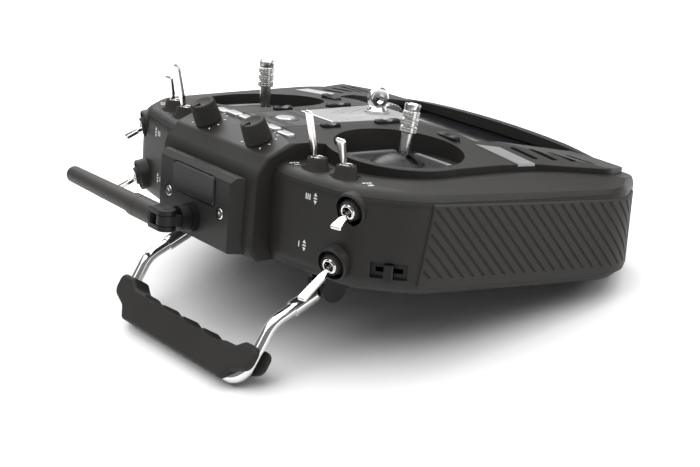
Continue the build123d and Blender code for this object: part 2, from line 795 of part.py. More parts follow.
def build():
    front, rear = shell_pair()
    frames = toggle_frames()
    names = [f"{'left' if s < 0 else 'right'}_{name}" for s in (-1, 1) for name in toggles]
    specs = [spec for _ in (-1, 1) for spec in toggles.values()]
    parts = {
        "front_shell": front,
        "rear_shell": rear,
        "face_plate": face_plate(),
        "side_grips": [side_grip(-1), side_grip(1)],
        "trim_strips": [trim_strip(-1), trim_strip(1)],
        "speaker_grille": grille(),
        "centre_plate": centre_plate(),
        "lanyard_hook": lanyard_hook(),
        "display_glass": display_glass(),
        "circuit_boards": [display_board(), main_board()],
        "battery_pack": battery_pack(),
        "battery_door": battery_door(),
        "module_cover": module_cover(),
        "module_panel": module_panel(),
        "case_screws": case_screws(),
        "antenna_socket": antenna_socket(),
        "handle_brackets": handle_brackets(),
        "feet": rear_foot_solids(),
        "gimbal_housings": [gimbal_housing(-1), gimbal_housing(1)],
        "switch_nuts": [toggle_mount(f) for f, _ in frames],
        "switch_boots": [toggle_boot(f) for f, _ in frames],
        "slider_bezels": [slider_bezel(-1), slider_bezel(1)],
        "handle_rod": handle_rod(),
        "handle_grip": handle_grip(),
        "antenna_base": antenna_base(),
        "antenna_mast": antenna_mast(),
        "power_button": power_button(),
        "scroll_wheel": scroll_wheel(),
    }
    for name, (frame, _), spec in zip(names, frames, specs):
        parts[f"lever_{name}"] = lever(frame, spec[2], spec[3])
    for side, word, lean in ((-1, "left", throttle_lean), (1, "right", 0)):
        spot = Pos(side * gimbal_x, 0, pivot_z)
        parts[f"yoke_{word}"] = spot * yoke(lean)
        parts[f"stick_{word}"] = spot * stick(lean)
        parts[f"knob_{word}"] = knob(side)
        parts[f"slider_{word}"] = slider(side)
    for i, (x, y) in enumerate(mode_buttons):
        parts[f"mode_button_{i + 1}"] = cap(x, y, *mode_size, 1.3)
    for name, place in trims.items():
        parts[name] = trim_rocker(*place)
    for name, (x, y) in keys.items():
        parts[name] = pocket_key(x, y)
    return parts


def main():
    os.makedirs("parts", exist_ok=True)
    shapes = {name: s if isinstance(s, list) else [s] for name, s in build().items()}
    place = stance()
    everything = [place * s for solids in shapes.values() for s in solids]
    extent = Compound(children=everything).bounding_box()
    centre = Pos(-extent.center().X, -extent.center().Y, 0) * place
    print("stance", centre.position, centre.orientation)
    for name, solids in shapes.items():
        placed = [centre * s for s in solids]
        out = placed[0] if len(placed) == 1 else Compound(children=placed)
        out.label = name
        export_step(out, f"parts/{name}.step")


main()
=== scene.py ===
import json
import math

import bmesh
import bpy
import numpy as np
from mathutils import Matrix, Vector
from mathutils.bvhtree import BVHTree


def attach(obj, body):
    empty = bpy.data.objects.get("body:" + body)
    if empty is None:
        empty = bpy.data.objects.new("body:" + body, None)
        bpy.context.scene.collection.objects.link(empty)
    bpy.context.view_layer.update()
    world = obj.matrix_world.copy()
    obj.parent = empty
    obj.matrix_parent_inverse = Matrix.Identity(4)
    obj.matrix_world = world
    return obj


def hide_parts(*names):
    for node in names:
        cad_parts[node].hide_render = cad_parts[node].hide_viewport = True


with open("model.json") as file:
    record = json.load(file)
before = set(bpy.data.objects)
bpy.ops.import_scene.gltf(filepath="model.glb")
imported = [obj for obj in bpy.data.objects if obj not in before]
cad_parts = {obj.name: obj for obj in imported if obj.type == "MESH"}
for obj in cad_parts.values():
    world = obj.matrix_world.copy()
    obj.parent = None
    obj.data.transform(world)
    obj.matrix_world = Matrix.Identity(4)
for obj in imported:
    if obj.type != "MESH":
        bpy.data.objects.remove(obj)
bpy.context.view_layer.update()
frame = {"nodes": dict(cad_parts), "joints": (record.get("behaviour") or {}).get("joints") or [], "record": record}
joints = {joint["name"]: joint for joint in frame["joints"]}
print("frame loaded:", len(frame["nodes"]), "nodes")

# The face frame: x to the user's right, y towards the antenna edge, z out of the face.
# Its tilt is read from the power button's travel, and its origin from the pivots of the two sticks.
pressAxis = joints["power_press"]["axis"]
tilt = math.atan2(pressAxis[1], -pressAxis[2])
turn = np.array([[1, 0, 0], [0, math.cos(tilt), -math.sin(tilt)], [0, math.sin(tilt), math.cos(tilt)]])
pivotLeft = np.array(joints["yoke_left_pitch"]["pos_m"])
pivotRight = np.array(joints["yoke_right_pitch"]["pos_m"])
pivotDepth = 0.023                     # the stick pivots lie this far under the middle of the face
lift = (pivotLeft + pivotRight) / 2 - turn @ np.array([0, 0, -pivotDepth])


# Face-frame points, in metres, to the row frame.
def fromFace(points):
    return np.asarray(points, float) @ turn.T + lift


# Row-frame points, in metres, to the face frame.
def toFace(points):
    return (np.asarray(points, float) - lift) @ turn


# A socket that takes part in sums: every operator adds its Math node.
class Field:
    def __init__(self, tree, socket):
        self.tree = tree
        self.socket = socket

    def math(self, operation, *values):
        node = self.tree.nodes.new("ShaderNodeMath")
        node.operation = operation
        for index, value in enumerate(values):
            if isinstance(value, Field):
                self.tree.links.new(value.socket, node.inputs[index])
            else:
                node.inputs[index].default_value = value
        return Field(self.tree, node.outputs[0])

    def __add__(self, other):
        return self.math("ADD", self, other)

    def __sub__(self, other):
        return self.math("SUBTRACT", self, other)

    def __rsub__(self, other):
        return self.math("SUBTRACT", other, self)

    def __mul__(self, other):
        return self.math("MULTIPLY", self, other)

    def __truediv__(self, other):
        return self.math("DIVIDE", self, other)

    __radd__ = __add__
    __rmul__ = __mul__


# One material: its Principled shader, and one method that adds any other node.
class Finish:
    def __init__(self, name, **constants):
        self.material = bpy.data.materials.new(name)
        self.material.use_nodes = True
        self.tree = self.material.node_tree
        self.shader = self.tree.nodes["Principled BSDF"]
        self.place = self.add("ShaderNodeTexCoord", out="Object")
        for socket, value in constants.items():
            self.shader.inputs[socket.replace("_", " ")].default_value = value

    def add(self, kind, settings=None, out=0, **inputs):
        node = self.tree.nodes.new(kind)
        for key, value in (settings or {}).items():
            if key == "stops":
                ramp = node.color_ramp.elements
                while len(ramp) < len(value):
                    ramp.new(0.5)
                for stop, (position, colour) in zip(ramp, value):
                    stop.position = position
                    stop.color = colour
            else:
                setattr(node, key, value)
        for key, value in inputs.items():
            numbered = key[0] == "i" and key[1:].isdigit()
            socket = node.inputs[int(key[1:])] if numbered else node.inputs[key.replace("_", " ")]
            if isinstance(value, Field):
                self.tree.links.new(value.socket, socket)
            else:
                socket.default_value = value
        return Field(self.tree, node.outputs[out])

    def link(self, **sockets):
        for key, value in sockets.items():
            self.tree.links.new(value.socket, self.shader.inputs[key.replace("_", " ")])
        return self

    def noise(self, scale, detail=2.0, roughness=0.5):
        inputs = {"Scale": scale, "Detail": detail, "Roughness": roughness}
        return self.add("ShaderNodeTexNoise", Vector=self.place, **inputs)

    def between(self, mask, low, high):
        return self.add("ShaderNodeMix", {"data_type": "RGBA"}, out=2, Factor=mask, i6=low, i7=high)

    def bump(self, height, strength, distance):
        return self.add("ShaderNodeBump", Strength=strength, Distance=distance, Height=height)


# A grey of that level; warm lifts the red and lowers the blue by the same share.
def grey(level, warm=0.0):
    return (level * (1 + warm), level, level * (1 - warm), 1)


# Moulded plastic or rubber: a fine spark-eroded grain over slow changes of tone, with lighter scuffs.
def grained(name, look):
    finish = Finish(name, Specular_IOR_Level=look["specular"], IOR=1.5)
    tone = finish.noise(look["toneScale"], 3.0)
    grain = finish.noise(look["grainScale"], 1.0, 0.6)
    scuff = finish.noise(look["toneScale"] * 9, 4.0, 0.7)
    mark = finish.add("ShaderNodeMapRange", i0=scuff, i1=0.62, i2=0.82, i3=0.0, i4=1.0)
    base = finish.between(tone, grey(look["dark"], look["warm"]), grey(look["light"], look["warm"]))
    rough = look["roughness"] + (tone - 0.5) * 0.12 + (grain - 0.5) * 0.10 + mark * look["scuff"]
    return finish.link(Base_Color=base, Roughness=rough,
                       Normal=finish.bump(grain, look["bump"], look["depth"])).material


print("helpers ready")


# Plastics: tones, gloss and grain of each.
plasticLooks = {
    "case_plastic": dict(dark=0.0105, light=0.0155, warm=0.08, roughness=0.50, specular=0.30, scuff=0.05,
                         toneScale=14, grainScale=2600, bump=0.35, depth=0.0002),
    "panel_plastic": dict(dark=0.010, light=0.013, warm=0.0, roughness=0.34, specular=0.30, scuff=0.05,
                          toneScale=20, grainScale=4000, bump=0.08, depth=0.0001),
    "side_rubber": dict(dark=0.021, light=0.029, warm=0.07, roughness=0.62, specular=0.25, scuff=0.08,
                        toneScale=18, grainScale=2400, bump=0.3, depth=0.0002),
    "grille_plastic": dict(dark=0.030, light=0.042, warm=0.0, roughness=0.45, specular=0.5, scuff=0.04,
                           toneScale=25, grainScale=2600, bump=0.25, depth=0.0002),
    "hard_plastic": dict(dark=0.007, light=0.010, warm=0.0, roughness=0.38, specular=0.30, scuff=0.05,
                         toneScale=30, grainScale=3600, bump=0.12, depth=0.0001),
    "soft_rubber": dict(dark=0.017, light=0.025, warm=0.07, roughness=0.60, specular=0.25, scuff=0.08,
                        toneScale=26, grainScale=2200, bump=0.3, depth=0.0002),
    "key_plastic": dict(dark=0.007, light=0.010, warm=0.0, roughness=0.36, specular=0.30, scuff=0.05,
                        toneScale=40, grainScale=3000, bump=0.1, depth=0.0001),
    "battery_wrap": dict(dark=0.05, light=0.07, warm=-0.5, roughness=0.25, specular=0.5, scuff=0.02,
                         toneScale=30, grainScale=2000, bump=0.05, depth=0.0001),
}
metalLooks = {
    "silver_trim": dict(level=0.60, warm=0.0, roughness=0.34, metallic=0.9, brush=(60, 60, 2400)),
    "silver_plate": dict(level=0.40, warm=0.0, roughness=0.44, metallic=0.7, brush=(900, 900, 900)),
    "chrome": dict(level=0.78, warm=0.0, roughness=0.09, metallic=1.0, brush=(300, 300, 300)),
    "stick_metal": dict(level=0.74, warm=0.01, roughness=0.22, metallic=1.0, brush=(200, 200, 2600)),
    "lever_chrome": dict(level=0.76, warm=0.05, roughness=0.15, metallic=1.0, brush=(1200, 1200, 200)),
    "button_metal": dict(level=0.62, warm=0.0, roughness=0.32, metallic=0.85, brush=(900, 900, 900)),
}


# Metal: fine drawn lines that change roughness, over a slow change of tone.
def brushed(name, look):
    finish = Finish(name, Metallic=look["metallic"])
    stretched = finish.add("ShaderNodeMapping", Vector=finish.place, Scale=look["brush"])
    lines = finish.add("ShaderNodeTexNoise", Vector=stretched, Scale=1.0, Detail=3.0, Roughness=0.6)
    tone = finish.noise(35, 2.0)
    base = finish.between(tone, grey(look["level"] * 0.92, look["warm"]), grey(look["level"], look["warm"]))
    rough = look["roughness"] * (0.75 + lines * 0.35 + tone * 0.15)
    return finish.link(Base_Color=base, Roughness=rough, Normal=finish.bump(lines, 0.04, 0.0001)).material


# Smoked glass, with faint smears in its gloss.
def displayFinish():
    finish = Finish("display", Specular_IOR_Level=0.6, Coat_Roughness=0.03)
    smear = finish.noise(22, 4.0, 0.6)
    base = finish.between(smear, (0.006, 0.007, 0.010, 1), (0.012, 0.013, 0.017, 1))
    return finish.link(Base_Color=base, Roughness=0.05 + smear * 0.08).material


# Green solder mask with lighter copper runs, as bands of a wave.
def boardFinish():
    finish = Finish("circuit_board")
    diagonal = {"bands_direction": "DIAGONAL"}
    runs = finish.add("ShaderNodeTexWave", diagonal, Vector=finish.place, Scale=180.0, Distortion=3.0)
    base = finish.between(runs, (0.01, 0.09, 0.03, 1), (0.02, 0.16, 0.06, 1))
    return finish.link(Base_Color=base, Roughness=0.3 + runs * 0.1).material


finishes = {name: grained(name, look) for name, look in plasticLooks.items()}
finishes.update({name: brushed(name, look) for name, look in metalLooks.items()})
finishes["display"] = displayFinish()
finishes["circuit_board"] = boardFinish()
slotOf = {row["node"]: row["material_slot"] for row in frame["record"]["subparts"]}
for node, thing in frame["nodes"].items():
    thing.data.materials.clear()
    thing.data.materials.append(finishes[slotOf[node]])
print("finishes:", len(finishes))


# Camera, lights and floor.
cameraView = {
    "place": (-0.732286, 0.516379, 0.177068),   # in the face frame
    "right": (-0.5739, -0.8158, 0.0712),
    "down": (-0.2497, 0.0915, -0.964),
    "lens": 87.43,
}
studio = {
    "floorTone": 0.88, "floorReach": 8, "skyLevel": 0.24,
    "lamps": [   # place, aim, size, watts
        ((0.1, -0.1, 1.6), (0, 0, 0.06), 3.4, 80),
        ((1.0, -0.5, 0.9), (0, 0, 0.06), 0.8, 8),
        ((-0.9, -0.6, 0.7), (0, 0, 0.06), 0.6, 5),
    ],
}


# The camera's axes are made square: backwards is right crossed with up, and up is backwards crossed with
# right.
def placeCamera(view):
    right = Vector(turn @ np.array(view["right"])).normalized()
    back = right.cross(-Vector(turn @ np.array(view["down"]))).normalized()
    up = back.cross(right)
    camera = bpy.data.objects.new("camera", bpy.data.cameras.new("camera"))
    bpy.context.scene.collection.objects.link(camera)
    camera.data.lens = view["lens"]
    axes = Matrix((right, up, back)).transposed().to_4x4()
    camera.matrix_world = Matrix.Translation(Vector(fromFace(view["place"]))) @ axes
    camera.data.clip_start, camera.data.clip_end = 0.01, 50
    bpy.context.scene.camera = camera


# An even sky, soft square lamps and a matt floor that barely changes in tone.
def lightStudio(setting):
    world = bpy.data.worlds.new("sky")
    world.use_nodes = True
    world.node_tree.nodes["Background"].inputs["Color"].default_value = (1, 1, 1, 1)
    world.node_tree.nodes["Background"].inputs["Strength"].default_value = setting["skyLevel"]
    bpy.context.scene.world = world
    for index, (place, aim, size, power) in enumerate(setting["lamps"]):
        lamp = bpy.data.lights.new(f"lamp{index}", "AREA")
        lamp.size, lamp.energy = size, power
        holder = bpy.data.objects.new(lamp.name, lamp)
        holder.location = place
        holder.rotation_euler = (Vector(aim) - Vector(place)).to_track_quat("-Z", "Y").to_euler()
        bpy.context.scene.collection.objects.link(holder)
    floorMesh = bpy.data.meshes.new("floor")
    reach = setting["floorReach"]
    corners = [(-reach, -reach, 0), (reach, -reach, 0), (reach, reach, 0), (-reach, reach, 0)]
    floorMesh.from_pydata(corners, [], [(0, 1, 2, 3)])
    floor = bpy.data.objects.new("floor", floorMesh)
    bpy.context.scene.collection.objects.link(floor)
    paper = Finish("paper")
    tone = paper.noise(3.0, 2.0)
    low, high = setting["floorTone"], setting["floorTone"] + 0.02
    paper.link(Base_Color=paper.between(tone, grey(low), grey(high)), Roughness=0.85 + tone * 0.1)
    floorMesh.materials.append(paper.material)


placeCamera(cameraView)
lightStudio(studio)
bpy.context.scene.view_settings.view_transform = "Standard"
print("camera and studio ready")


# Quads between each row of a grid and the next. With wrap the last column joins the first.
def gridFaces(rows, columns, wrap):
    i, j = np.meshgrid(np.arange(rows - 1), np.arange(columns if wrap else columns - 1), indexing="ij")
    after = (j + 1) % columns
    this, above = i * columns, (i + 1) * columns
    return np.stack([this + j, above + j, above + after, this + after], -1).reshape(-1, 4)


# A tube whose first and last rings are drawn in to their middles, which closes it.
def capped(points):
    first = np.broadcast_to(points[:1].mean(1, keepdims=True), points[:1].shape)
    last = np.broadcast_to(points[-1:].mean(1, keepdims=True), points[-1:].shape)
    return np.concatenate([first, points, last])


# Joins closed grids of row-frame points into one mesh, merges its seams and turns its faces outward.
def piece(name, grids, body, slot, replaces=(), finish=None, crease=35, wrap=True):
    vertices, faces, start = [], [], 0
    for grid in grids:
        rows, columns = grid.shape[:2]
        vertices.append(grid.reshape(-1, 3))
        faces.append(gridFaces(rows, columns, wrap) + start)
        start += rows * columns
    mesh = bpy.data.meshes.new(name)
    mesh.from_pydata(np.concatenate(vertices).tolist(), [], np.concatenate(faces).tolist())
    work = bmesh.new()
    work.from_mesh(mesh)
    bmesh.ops.remove_doubles(work, verts=work.verts, dist=1e-6)
    bmesh.ops.recalc_face_normals(work, faces=work.faces)
    work.to_mesh(mesh)
    work.free()
    mesh.shade_smooth()
    mesh.set_sharp_from_angle(angle=math.radians(crease))
    thing = bpy.data.objects.new(name, mesh)
    bpy.context.scene.collection.objects.link(thing)
    mesh.materials.append(finish or finishes[slot])
    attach(thing, body)
    if replaces:
        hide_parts(*replaces)
    return thing


# Unit axes as rows: z given, x as near to the one given as it can be, y to suit.
def axesAlong(z, x):
    z = np.array(z, float) / np.linalg.norm(z)
    x = np.array(x, float) - z * np.dot(x, z)
    x = x / np.linalg.norm(x)
    return np.array([x, np.cross(z, x), z])


# Local points to the row frame: x, y and z times the axes, plus the origin.
def placed(local, origin, axes):
    return local @ axes + origin


# A profile of radius and height carried round the axis by cosine and sine. A ripple adds to the radius,
# from the angle, the height and the radius itself.
def lathe(profile, origin, axes, segments=64, ripple=None):
    radius, height = np.array(profile, float).T
    angle = np.arange(segments) * 2 * np.pi / segments
    r, a = np.meshgrid(radius, angle, indexing="ij")
    z = np.broadcast_to(height[:, None], r.shape)
    if ripple:
        r = r + ripple(a, z, r)
    return placed(np.stack([r * np.cos(a), r * np.sin(a), z], -1), origin, axes)


# Superellipse sections up the z axis: the shares of half width and half thickness, each raised to the
# squareness, sum to one. A station is a height, a half width, a half thickness and a shift in y.
def blade(stations, origin, axes, squareness=5, segments=40):
    z, w, t, shift = np.array(stations, float).T
    angle = np.arange(segments) * 2 * np.pi / segments
    c, d = np.cos(angle), np.sin(angle)
    reach = (np.abs(c) ** squareness + np.abs(d) ** squareness) ** (-1 / squareness)
    x = w[:, None] * (reach * c)
    y = t[:, None] * (reach * d) + shift[:, None]
    return capped(placed(np.stack([x, y, np.broadcast_to(z[:, None], x.shape)], -1), origin, axes))


# A flat-topped prism over a polygon, its rim rounded: rings go in by the cosine and up by the sine of a
# quarter turn.
def slab(corners, low, high, round=0.0004, steps=3):
    corner = np.array(corners, float)
    inward = corner.mean(0) - corner
    inward = inward / np.linalg.norm(inward, axis=1, keepdims=True)
    rings = [np.column_stack([corner, np.full(len(corner), low)])]
    for k in range(steps + 1):
        a = math.pi / 2 * k / steps
        ring = corner + inward * round * 1.4 * (1 - math.cos(a))
        rings.append(np.column_stack([ring, np.full(len(corner), high - round + round * math.sin(a))]))
    return capped(np.array(rings))


# A closed polygon whose corners are arcs: each corner's radius gives an arc that turns as much as the
# corner does.
def roundedPath(points, step=0.0015):
    path = []
    points = np.array(points, float)
    for k in range(len(points)):
        here, before, after = points[k][:2], points[k - 1][:2], points[(k + 1) % len(points)][:2]
        radius = points[k][2]
        into = (here - before) / np.linalg.norm(here - before)
        out = (after - here) / np.linalg.norm(after - here)
        bend = math.atan2(into[0] * out[1] - into[1] * out[0], into @ out)
        cut = radius * math.tan(abs(bend) / 2)
        side = np.array([-into[1], into[0]]) * math.copysign(1, bend)
        centre = here - into * cut + side * radius
        t = np.linspace(0, bend, max(4, int(abs(bend) * radius / step)))[:, None]
        spoke = here - into * cut - centre
        path.append(centre + spoke * np.cos(t) + np.array([-spoke[1], spoke[0]]) * np.sin(t))
    return np.concatenate(path)


# All corners of a CAD node's mesh, in the row frame.
def nodePoints(node):
    mesh = frame["nodes"][node].data
    points = np.zeros(len(mesh.vertices) * 3)
    mesh.vertices.foreach_get("co", points)
    return points.reshape(-1, 3)


# Lowest and highest corner of a CAD node in the face frame.
def faceBox(node):
    points = toFace(nodePoints(node))
    return points.min(0), points.max(0)


faceX = turn[:, 0]          # across the case, in the row frame
print("surface tools ready")


# The case seen from above: corners x, y and their radii, right half from the antenna edge.
caseShape = {
    "corners": [(0.058, 0.064, 0.040), (0.104, 0.056, 0.024), (0.127, 0.032, 0.040), (0.137, -0.030, 0.200),
                (0.1435, -0.084, 0.024), (0.116, -0.117, 0.020), (0.060, -0.122, 0.060)],
    "seamHeights": [(-0.140, -0.016), (-0.070, -0.012), (0.100, -0.011)],
    "roundR": 0.008, "roundZ": -0.015,
}
casePath = roundedPath(caseShape["corners"] + [(-x, y, r) for x, y, r in reversed(caseShape["corners"])])

# Side grips: rubber with slanted ribs.
grip = {
    "pitch": 0.0044, "slant": 50, "grooveShare": 0.30, "grooveDepth": 0.0007,
    "proud": 0.0014, "buried": 0.0006, "border": 0.0045, "borderFade": 0.0006, "edge": 0.0010,
    "frontTop": 0.026, "frontLow": 0.031, "topFront": -0.0120, "topBack": -0.0144,
    "lengthSteps": 560, "heightSteps": 120,
}


# Along the grid the case outline, moved out by the rubber's thickness; up the grid the side's height. The
# thickness is less by a flat-bottomed groove wherever the distance across the slanted lines, counted in
# pitches, is near a whole number and a half.
def sideGrip(name, side):
    low, _ = faceBox("side_grips")
    line = casePath[casePath[:, 0] > 0.10]
    line = line[np.argsort(-line[:, 1])]
    y = np.linspace(0, 1, grip["lengthSteps"])[:, None]
    v = np.linspace(0, 1, grip["heightSteps"])[None, :]
    frontY = grip["frontLow"] + (grip["frontTop"] - grip["frontLow"]) * v
    y = frontY + (low[1] - frontY) * y
    topZ = np.interp(y, [low[1], grip["frontTop"]], [grip["topBack"], grip["topFront"]])
    z = low[2] + (topZ - low[2]) * v
    x = np.interp(-y, -line[:, 1], line[:, 0])
    slope = np.gradient(line[:, 0], line[:, 1])
    lean = np.interp(-y, -line[:, 1], slope)
    size = np.sqrt(1 + lean ** 2)
    slant = math.radians(grip["slant"])
    across = (y * math.sin(slant) - z * math.cos(slant)) / grip["pitch"]
    wave = np.abs((across % 1) - 0.5) * 2
    groove = np.clip((grip["grooveShare"] - wave) / 0.10, 0, 1)
    fromEdge = np.minimum.reduce([y - low[1], frontY - y, z - low[2], topZ - z])
    inside = np.minimum(fromEdge, z - low[2] - grip["border"] + grip["edge"]) - grip["edge"]
    inBorder = np.clip(inside / grip["borderFade"], 0, 1)
    rim = np.sqrt(np.clip(1 - (1 - np.clip(fromEdge / grip["edge"], 0, 1)) ** 2, 0, 1))
    h = -grip["buried"] + (grip["proud"] + grip["buried"]) * rim - grip["grooveDepth"] * groove * inBorder
    outer = np.stack([side * (x + h / size), y - lean * h / size, z], -1)
    back = -2 * grip["buried"]
    inner = np.stack([side * (x + back / size), y - lean * back / size, z], -1)[:, [-1, 0]]
    grid = fromFace(np.concatenate([outer, inner], 1))
    return piece(name, [grid], "case", "side_rubber", ["side_grips"], crease=60)


for side, word in ((-1, "left"), (1, "right")):
    sideGrip(f"sideGrip_{word}", side)
print("side grips done")


# Sticks.
stickLook = {
    "postR": 0.0023, "sleeveR": 0.0030, "sleeveFrom": 0.0211, "edge": 0.0003,
    "knurlR": 0.0040, "knurlDepth": 0.00040, "knurlFrom": 0.031,
    "columns": 14, "rowsPerBand": 3, "padRise": 0.16, "bands": 3, "groove": 0.0006, "coreR": 0.0031,
    "crown": 0.0034, "crownInner": 0.0017, "prongs": 4, "prongFrom": 9, "prongTo": 81,
    "strapR": 0.0179, "strapHalf": 0.0047, "strapThick": 0.0016, "strapReach": 44,
}


# Smooth sleeve, bands of square knurling, and a slotted crown. Between the grooves stand pads: the radius
# grows by the knurl's depth times the lower of two pad shapes, one counted round the stick and one along
# it.
def stickPieces(word):
    look = stickLook
    pivot = np.array(joints[f"stick_{word}_roll"]["pos_m"])
    points = nodePoints(f"stick_{word}")
    distance = np.linalg.norm(points - pivot, axis=1)
    top = distance.max()
    tip = points[distance > top - 0.0012]
    axes = axesAlong(tip.mean(0) - pivot, faceX)
    crownFrom = top - look["crown"]
    bandLength = (crownFrom - look["knurlFrom"]) / look["bands"]

    def pad(turns):
        return np.clip((0.5 - np.abs((turns % 1) - 0.5)) / look["padRise"], 0, 1)

    def knurl(a, z, r):
        rows = (z - look["knurlFrom"]) / (bandLength / look["rowsPerBand"])
        s = np.minimum(pad(look["columns"] * a / (2 * np.pi)), pad(rows))
        return look["knurlDepth"] * s * (r > look["sleeveR"] + 0.0005)

    sleeveR, postR, edge = look["sleeveR"], look["postR"], look["edge"]
    low, high = look["sleeveFrom"], look["knurlFrom"]
    post = [(0, 0), (postR, 0), (postR, low), (sleeveR - edge, low), (sleeveR, low + edge),
            (sleeveR, high - 0.0004), (sleeveR - edge, high), (0, high)]
    grids = [lathe(post, pivot, axes)]
    shoulderR, coreR = look["knurlR"] - 0.0004, look["coreR"]
    for band in range(look["bands"]):
        start = look["knurlFrom"] + bandLength * band
        stop = start + bandLength - look["groove"]
        bandLine = [(look["knurlR"], z) for z in np.linspace(start + edge, stop - edge, 34)]
        profile = [(0, start), (shoulderR, start)] + bandLine + [(shoulderR, stop), (0, stop)]
        grids.append(lathe(profile, pivot, axes, 168, knurl))
        under, over = stop - 0.0002, stop + 0.0008
        grids.append(lathe([(0, under), (coreR, under), (coreR, over), (0, over)], pivot, axes))
    for prong in range(look["prongs"]):   # each prong is a quarter ring, flared and pointed
        angle = np.radians(np.linspace(look["prongFrom"], look["prongTo"], 14) + 90 * prong)
        inner, outer = look["crownInner"], look["knurlR"] + 0.0002
        foot = crownFrom - 0.0005
        section = [(inner, foot), (outer - 0.0004, foot), (outer, crownFrom + 0.0008), (outer, top - 0.0006),
                   (outer - 0.0009, top - 0.0001), (inner + 0.0007, top - 0.0014), (inner, top - 0.0024)]
        r, z = np.array(section).T
        level = np.broadcast_to(z, (len(angle), len(r)))
        ring = np.stack([np.outer(np.cos(angle), r), np.outer(np.sin(angle), r), level], -1)
        grids.append(capped(placed(ring, pivot, axes)))
    piece(f"stickTop_{word}", grids, f"stick_{word}", "stick_metal", [f"stick_{word}"], crease=24)
    swing = np.radians(np.linspace(-look["strapReach"], look["strapReach"], 40))
    outer, inner, half = look["strapR"], look["strapR"] - look["strapThick"], look["strapHalf"]
    edges = [(outer, -half), (outer, half), (inner, half), (inner, -half)]
    lines = [np.stack([r * np.sin(swing), np.full_like(swing, y), r * np.cos(swing)], -1) for r, y in edges]
    strap = capped(placed(np.stack(lines, 1), pivot, axes))
    piece(f"stickStrap_{word}", [strap], f"stick_{word}", "hard_plastic", crease=40)


for word in ("left", "right"):
    stickPieces(word)
print("sticks done")


# Potentiometer knobs.
knobLook = {
    "ribs": 36, "ribHeight": 0.00035, "skirt": 0.0071, "waist": 0.0064, "height": 0.0115,
    "skirtTop": 0.0022, "rim": 0.0009, "dish": 0.0012, "dishR": 0.0049,
    "barHalf": 0.0006, "barFrom": 0.0015, "barTo": 0.0066, "barSunk": 0.002, "barProud": 0.0004,
}


# A lathe whose side carries ribs that follow the size of a cosine round the knob, with a dished top and a
# pointer bar.
def knobPiece(word):
    look = knobLook
    joint = joints[f"knob_{word}_turn"]
    axes = axesAlong(joint["axis"], faceX)
    origin = np.array(joint["pos_m"])
    height, rim, dishR = look["height"], look["rim"], look["dishR"]
    base, span = look["skirtTop"], look["height"] - look["rim"] - look["skirtTop"]
    drop = look["skirt"] - look["waist"]
    flank = [(look["skirt"] - drop * share, base + span * share) for share in np.linspace(0, 1, 12)]
    rimR = flank[-1][0]
    quarter = np.linspace(0, np.pi / 2, 6)[1:]
    edge = [(rimR - 0.0008 * (1 - math.cos(t)), height - rim + rim * math.sin(t)) for t in quarter]
    dish = [(r, height - look["dish"] * (1 - (r / dishR) ** 2)) for r in np.linspace(dishR, 0, 9)]
    profile = [(0, 0.0004), (look["skirt"], 0.0004), (look["skirt"] + 0.0001, 0.0018)] + flank + edge + dish

    def ribs(a, z, r):
        onSide = (z > base - 0.0001) & (z < height - 0.0005) & (r > look["waist"] - 0.0006)
        return look["ribHeight"] * (np.abs(np.cos(look["ribs"] * a / 2)) - 0.6) * onSide

    node = f"knob_{word}"
    body = lathe(profile, origin, axes, 288, ribs)
    piece(f"knobBody_{word}", [body], node, "soft_rubber", [node], crease=50)
    half, near, far = look["barHalf"], look["barFrom"], look["barTo"]
    corners = [(-half, near), (half, near), (half, far), (-half, far)]
    pointer = placed(slab(corners, height - look["barSunk"], height + look["barProud"]), origin, axes)
    piece(f"knobPointer_{word}", [pointer], node, "soft_rubber")


for word in ("left", "right"):
    knobPiece(word)
print("knobs done")


# Toggle switches.
switchLook = {
    "neckR": 0.0011, "bootH": 0.0062, "footR": 0.0066, "topR": 0.0049, "mouthR": 0.0043, "skirtDepth": 0.0020,
    "ringR": 0.0041, "boreR": 0.0027, "ringTop": 0.0066, "ringSeat": 0.0034, "ringDeep": 0.005,
    "bladeFrom": 0.0084, "bladeHalf": 0.0021, "bootWall": 0.0037, "flankPower": 0.7, "threadPitch": 0.00035,
}


# Foot, boss axes and tip of one switch. The boss points the way that the lever does at mid travel.
def toggleFrame(name):
    joint = joints[f"lever_{name}_flick"]
    foot = np.array(joint["pos_m"])
    points = nodePoints(f"lever_{name}")
    distance = np.linalg.norm(points - foot, axis=1)
    tip = points[distance > distance.max() - 0.0025].mean(0)
    hinge = np.array(joint["axis"])
    leverAxes = axesAlong(tip - foot, hinge)
    middle = math.radians(sum(joint["range_deg"]) / 2)
    straight = np.array(Matrix.Rotation(middle, 3, Vector(hinge)) @ Vector(leverAxes[2]))
    return foot, axesAlong(straight, hinge), leverAxes, points


